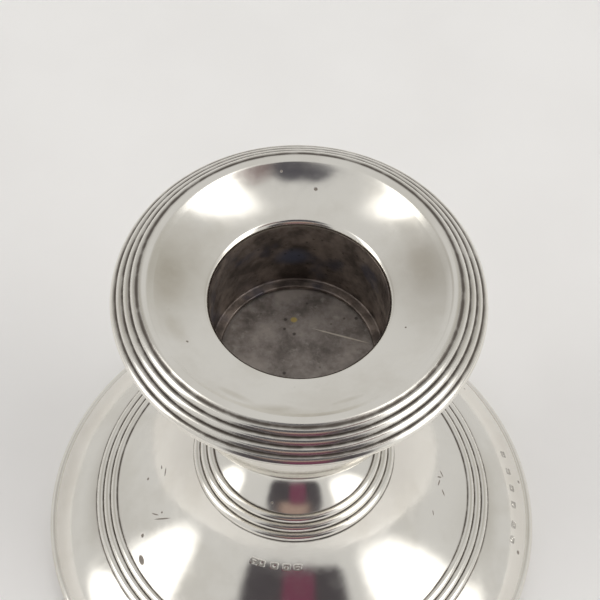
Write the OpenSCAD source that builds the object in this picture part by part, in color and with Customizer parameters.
// Dwarf silver candlestick, loaded, with a lift-out nozzle.
// The origin is the middle of the underside, +Z is up, and every piece is
// turned about the Z axis apart from the hexagonal nut.
// Outlines are drawn as [radius, height] and turned.

/* [Candle socket] */
// Inside radius of the socket, for a 7/8 inch candle
bore_r = 11.1; // [10.9:0.1:11.3]
// Depth from the lip to the ledge that the candle stands on
socket_depth = 12.5; // [11:0.5:13]
// Width of the ledge at the bottom of the socket
ledge_w = 1.3; // [0.8:0.1:1.8]

/* [Drip pan] */
// Height of the socket's lip above the table
lip_z = 60.5; // [60:0.1:61]
// Radius of the curve that the dish is spun to
dish_r = 29; // [28.5:0.1:29.5]
// Slope of the dish where it meets the lip, in degrees
lip_slope = 16; // [15.5:0.1:16.5]
// Radius of the rounded crest of the border
crest_r = 1.15; // [1.1:0.01:1.2]
// Radius of the bead at the outer edge of the border
edge_bead_r = 0.75; // [0.7:0.01:0.8]
// Largest diameter of the pan
pan_d = 46.2; // [46:0.1:46.6]

/* [Reeding] */
// Radius of the rounded face of each reed
reed_r = 0.78; // [0.76:0.01:0.85]
// Depth of a reeded wire below its grooves
reed_back = 0.3; // [0.2:0.05:0.35]
// Distance between the grooves of the pan's border
pan_pitch = 1.12; // [1.1:0.01:1.15]
// Distance between the grooves of the ring at the stem's foot
stem_pitch = 1.25; // [1.2:0.01:1.3]
// Distance between the grooves of the band on the base
base_pitch = 1.19; // [1.15:0.01:1.22]

/* [Sconce] */
// Largest radius of the bowl
bowl_r = 15.4; // [15.2:0.1:16]
// Height of the bowl's widest place
bowl_z = 44.1; // [43.5:0.1:44.5]
// Radius of the bowl's belly
belly_r = 9; // [8.8:0.1:9.2]
// Radius of the bowl at its rim
bowl_top_r = 13.6; // [13.5:0.1:13.8]
// Height of the bowl at its rim
bowl_top_z = 56; // [55.5:0.1:56]

/* [Stem and base] */
// Radius of the curve between the neck and the stem's foot
neck_curve_r = 12.5; // [12:0.1:13]
// Radius of the base's hollow sweep
sweep_r = 31.5; // [30:0.5:40]
// Radius of the base's rounded shoulder
shoulder_r = 14.2; // [13.5:0.1:15]
// Largest diameter, over the foot wire
foot_d = 72; // [71.6:0.1:72.4]
// Height of the foot wire
foot_wire_h = 1.8; // [1.7:0.1:1.9]

/* [Sheet and stock] */
// Thickness of the silver sheet
wall = 0.7; // [0.6:0.05:0.75]
// Thickness of the nozzle's and well's tubes
tube_wall = 0.6; // [0.5:0.05:0.6]
// Radius of the steel tie rod
rod_r = 2; // [1.8:0.1:2.2]
// Width of the nut across its flats
nut_af = 7; // [6.5:0.1:7.5]
// Thickness of the baize
baize_t = 0.9; // [0.7:0.1:1]

/* [Hidden] */

$fn = 180;
// Largest turn between the points of an outline's arc, in degrees
arc_step = 4;

silver = "#cbc9c2";
silver_worn = "#8f8a82";
steel = "#8a8d90";
pitch = "#2b2522";
card = "#a08a68";
baize = "#2f5a3c";

// Slopes of the three reeded pieces, in degrees below the horizontal
pan_slope = 38.1;
stem_slope = 39.6;
base_slope = 28.4;
// Reeds between the crest and the edge bead of the pan's border
pan_reeds = 3;
stem_reeds = 3;
base_reeds = 3;

// The lift-out nozzle
ledge_t = 0.6;
ledge_z = lip_z - socket_depth;
nozzle_r = bore_r + tube_wall;
dish_centre = [bore_r - dish_r * sin(lip_slope), lip_z + dish_r * cos(lip_slope)];
// Slope of the dish at the tube's outside, where the lip's rounding starts
dish_start = asin((nozzle_r - dish_centre.x) / dish_r);
lip_round = tube_wall / (1 - sin(dish_start));
// The edge bead gives the pan its largest radius
edge_bead = [pan_d / 2 - edge_bead_r, lip_z + 0.25];
pan_groove_end = edge_bead + [0, edge_bead_r];
pan_groove_start = pan_groove_end - pan_reeds * pan_pitch * along(pan_slope);
// The crest's arc touches the dish's and ends in the first groove
crest_reach = norm(pan_groove_start - dish_centre);
crest_span = dish_r + crest_r;
crest_turn = acos((crest_reach ^ 2 + crest_span ^ 2 - crest_r ^ 2) / (2 * crest_reach * crest_span));
// Slopes of the dish where it turns over into the crest and where its sheet ends
crest_slope = 90 + heading(dish_centre, pan_groove_start) - crest_turn;
dish_end = crest_slope - 1.5;
// The border's back joins its crest and its bead behind the reeds
border_back = 1.1;
border_lap = 0.4;
// Flat part of the underplate, which sits on the sconce's rim
seat_z = lip_z - 2.6;
seat_r = 14.8;
underside_r = 26;

// The sconce
nozzle_gap = 0.25;
seat_gap = 0.1;
well_r = nozzle_r + nozzle_gap;
well_outer_r = well_r + tube_wall;
floor_t = 0.8;
floor_z = ledge_z - ledge_t - 0.2;
rim_top = seat_z - seat_gap;
bowl_side_r = 40;
neck_z = bowl_z - belly_r;
rim_bead_r = (rim_top - bowl_top_z) / 2;

// The stem, its ring and the base, from the top down
ring_start = [11.2, 23.3];
ring_end = ring_start + stem_reeds * stem_pitch * along(stem_slope);
ring_middle = (ring_start + ring_end) / 2;
neck_top = [6.35, neck_z];
band_start = [25.5, 9.45];
band_end = band_start + base_reeds * base_pitch * along(base_slope);
foot_bead_r = foot_wire_h / 2;
foot_z = 0.2;
foot_top = foot_z + foot_wire_h;
shoulder_end = [foot_d / 2 - foot_bead_r, foot_top];
foot_inner_r = shoulder_end.x - foot_bead_r - 0.1;

// What the stem and base hold
sleeve_r = 5.4;
sleeve_low = 31.5;
sleeve_high = 37.5;
plate_t = 1;
rod_plate_r = 10;
card_top = 1.7;
base_plate_r = foot_inner_r - 0.4;
base_plate_t = 0.7;
cup_r = 9;
cup_z = 6;
cup_draft = 1.5;
washer_t = 0.8;
washer_r = 5;
nut_h = 3;
rod_low = 1.9;

// Unit vector down a slope, away from the axis
function along(slope) = [cos(slope), -sin(slope)];
// Unit vector out of a surface with that slope
function out_of(slope) = [sin(slope), cos(slope)];
function heading(a, b) = atan2(b.y - a.y, b.x - a.x);
function turn(a, b) = (b - a + 540) % 360 - 180;
// Centre of a circle through p and q: on the left of p to q when r is above 0
function centre(p, q, r) =
    let (d = q - p)
    (p + q) / 2 + sign(r) * sqrt(r * r - d * d / 4) * [-d.y, d.x] / norm(d);
// Points on the arc of radius r from p to q, with t added to its radius
function bow(p, q, r, t = 0) =
    let (
        c = centre(p, q, r),
        a = heading(c, p),
        w = turn(a, heading(c, q)),
        n = ceil(abs(w) / arc_step)
    )
    [for (i = [0:n]) c + (abs(r) + t) * [cos(a + w * i / n), sin(a + w * i / n)]];
function reversed(list) = [for (i = [len(list) - 1:-1:0]) list[i]];
// The point on the dish where its slope is a, with t added to its radius
function on_dish(a, t = 0) = dish_centre + (dish_r + t) * [sin(a), -cos(a)];
// Points on the dish from slope a to slope b, with t added to its radius
function dish(a, b, t = 0) =
    let (n = ceil((b - a) / arc_step))
    [for (i = [0:n]) on_dish(a + (b - a) * i / n, t)];

module turned() {
    rotate_extrude() children();
}

// A flat ring or disc between two heights
module washer(inner, outer, low, high) {
    turned() translate([inner, low]) square([outer - inner, high - low]);
}

// Section of a reeded strip that starts at a groove and follows a slope
module reeds(start, slope, pitch, count) {
    sunk = sqrt(reed_r * reed_r - pitch * pitch / 4);
    translate(start) rotate(-slope) intersection() {
        union() {
            for (i = [0:count - 1])
                translate([(i + 0.5) * pitch, -sunk]) circle(reed_r);
            translate([0, -reed_back]) square([count * pitch, reed_back]);
        }
        translate([0, -reed_back]) square([count * pitch, reed_back + reed_r]);
    }
}

// Section of the crest, the edge bead and the reeds between them
module pan_border_section() {
    step = pan_pitch * along(pan_slope);
    polygon(concat(
        dish(dish_end, crest_slope),
        bow(on_dish(crest_slope), pan_groove_start, -crest_r),
        [for (i = [0:pan_reeds - 1])
            each bow(pan_groove_start + i * step, pan_groove_start + (i + 1) * step, -reed_r)],
        [for (a = [90 - arc_step:-arc_step:-174]) edge_bead + edge_bead_r * [cos(a), sin(a)]],
        [pan_groove_start - border_lap * along(pan_slope) - border_back * out_of(pan_slope)],
        [on_dish(dish_end, wall)]
    ));
}

// Section of the space inside the stem and base, above a height
module inside_section(low) {
    bottom = shoulder_end.x;
    intersection() {
        polygon(concat(
            [[0, neck_z]],
            bow(neck_top, ring_start, neck_curve_r, wall),
            [ring_middle - wall * out_of(stem_slope)],
            bow(ring_end, band_start, sweep_r, wall),
            bow(band_end, shoulder_end, -shoulder_r, -wall),
            [[0, 0]]
        ));
        translate([0, low]) square([bottom, neck_z - low]);
    }
}

// Section of the space inside the bowl
module bowl_inside_section() {
    polygon(concat(
        [[0, bowl_top_z]],
        bow([bowl_top_r, bowl_top_z], [bowl_r, bowl_z], -bowl_side_r, -wall),
        bow([bowl_r, bowl_z], [bowl_r - belly_r, neck_z], -belly_r, -wall),
        [[0, neck_z + wall]]
    ));
}

module drip_pan() {
    color(silver) turned()
        polygon(concat(dish(dish_start, dish_end), reversed(dish(dish_start, dish_end, wall))));
}

module pan_border() {
    color(silver) turned() pan_border_section();
}

module pan_underplate() {
    rise = [edge_bead.x - 0.1, edge_bead.y - edge_bead_r + 0.2];
    color(silver) turned() difference() {
        polygon(concat(
            [[nozzle_r, seat_z]],
            bow([seat_r, seat_z], rise, underside_r),
            reversed(bow([seat_r, seat_z], rise, underside_r, -tube_wall)),
            [[nozzle_r, seat_z + tube_wall]]
        ));
        pan_border_section();
    }
}

module nozzle_tube() {
    low = ledge_z - ledge_t;
    lip_low = on_dish(dish_start, lip_round).y;
    color(silver_worn) turned() polygon(concat(
        [[bore_r - ledge_w, low], [nozzle_r, low]],
        bow(on_dish(dish_start), [bore_r, lip_low], lip_round),
        [[bore_r, ledge_z], [bore_r - ledge_w, ledge_z]]
    ));
}

module sconce_rim() {
    bead = [bowl_top_r + 0.3, bowl_top_z + rim_bead_r];
    color(silver) turned() {
        translate(bead) circle(rim_bead_r);
        translate([well_outer_r, bowl_top_z])
            square([bead.x - well_outer_r, 2 * rim_bead_r]);
    }
}

module sconce_well() {
    color(silver_worn) washer(well_r, well_outer_r, floor_z - floor_t, rim_top);
}

module well_floor() {
    color(silver_worn) washer(0, well_r, floor_z - floor_t, floor_z);
}

module sconce_bowl() {
    color(silver) turned() difference() {
        polygon(concat(
            [[0, bowl_top_z]],
            bow([bowl_top_r, bowl_top_z], [bowl_r, bowl_z], -bowl_side_r),
            bow([bowl_r, bowl_z], [bowl_r - belly_r, neck_z], -belly_r),
            [[0, neck_z]]
        ));
        bowl_inside_section();
        translate([0, neck_z - 1]) square([sleeve_r, 3]);
        translate([0, bowl_top_z - 1]) square([bowl_top_r - wall - 0.2, 2]);
    }
}

module sconce_filling() {
    plate_low = floor_z - floor_t - plate_t;
    color(pitch) turned() difference() {
        bowl_inside_section();
        translate([0, plate_low]) square([rod_plate_r, plate_t]);
        translate([0, plate_low + plate_t]) square([well_outer_r, rim_top]);
        translate([0, neck_z]) square([sleeve_r, sleeve_high - neck_z]);
        square([rod_r, lip_z]);
    }
}

module neck_sleeve() {
    color(silver_worn) washer(sleeve_r - wall, sleeve_r, sleeve_low, sleeve_high);
}

module stem() {
    color(silver) turned() difference() {
        polygon(concat(
            bow(neck_top, ring_start, neck_curve_r),
            [ring_middle, ring_middle - wall * out_of(stem_slope)],
            reversed(bow(neck_top, ring_start, neck_curve_r, wall))
        ));
        reeds(ring_start, stem_slope, stem_pitch, stem_reeds);
        translate([0, neck_z]) square([bowl_r, wall]);
    }
}

module stem_ring() {
    color(silver) turned() reeds(ring_start, stem_slope, stem_pitch, stem_reeds);
}

module base_shell() {
    color(silver) turned() difference() {
        polygon(concat(
            [ring_middle],
            bow(ring_end, band_start, sweep_r),
            bow(band_end, shoulder_end, -shoulder_r),
            reversed(bow(band_end, shoulder_end, -shoulder_r, -wall)),
            reversed(bow(ring_end, band_start, sweep_r, wall)),
            [ring_middle - wall * out_of(stem_slope)]
        ));
        reeds(ring_start, stem_slope, stem_pitch, stem_reeds);
        reeds(band_start, base_slope, base_pitch, base_reeds);
        square([foot_d / 2, foot_top]);
    }
}

module base_band() {
    color(silver) turned() reeds(band_start, base_slope, base_pitch, base_reeds);
}

module foot_wire() {
    color(silver) turned() {
        translate([shoulder_end.x, foot_z + foot_bead_r]) circle(foot_bead_r);
        translate([foot_inner_r, foot_z])
            square([shoulder_end.x - foot_inner_r, foot_wire_h]);
    }
}

module rod_plate() {
    high = floor_z - floor_t;
    color(steel) washer(rod_r, rod_plate_r, high - plate_t, high);
}

module tie_rod() {
    color(steel) washer(0, rod_r, rod_low, floor_z - floor_t);
}

module base_filling() {
    color(pitch) turned() difference() {
        inside_section(card_top + base_plate_t);
        square([rod_r, lip_z]);
        translate([0, sleeve_low]) square([sleeve_r, neck_z]);
        polygon([
            [0, 0],
            [cup_r + cup_draft + wall, card_top + base_plate_t],
            [cup_r + wall, cup_z + base_plate_t],
            [0, cup_z + base_plate_t]
        ]);
    }
}

module base_plate() {
    color(steel) turned() polygon([
        [rod_r, cup_z],
        [cup_r, cup_z],
        [cup_r + cup_draft, card_top],
        [base_plate_r, card_top],
        [base_plate_r, card_top + base_plate_t],
        [cup_r + cup_draft + wall, card_top + base_plate_t],
        [cup_r + wall, cup_z + base_plate_t],
        [rod_r, cup_z + base_plate_t]
    ]);
}

module rod_washer() {
    color(steel) washer(rod_r, washer_r, cup_z - washer_t, cup_z);
}

module rod_nut() {
    low = cup_z - washer_t - nut_h;
    color(steel) difference() {
        translate([0, 0, low])
            linear_extrude(nut_h) circle(nut_af / sqrt(3), $fn = 6);
        translate([0, 0, low - 1]) cylinder(nut_h + 2, r = rod_r);
    }
}

module base_card() {
    color(card) washer(0, foot_inner_r - 0.1, baize_t, card_top);
}

module baize_pad() {
    color(baize) washer(0, foot_inner_r - 0.1, 0, baize_t);
}

drip_pan();
pan_border();
pan_underplate();
nozzle_tube();
sconce_rim();
sconce_well();
well_floor();
sconce_bowl();
sconce_filling();
neck_sleeve();
stem();
stem_ring();
base_shell();
base_band();
foot_wire();
rod_plate();
tie_rod();
base_filling();
base_plate();
rod_washer();
rod_nut();
base_card();
baize_pad();
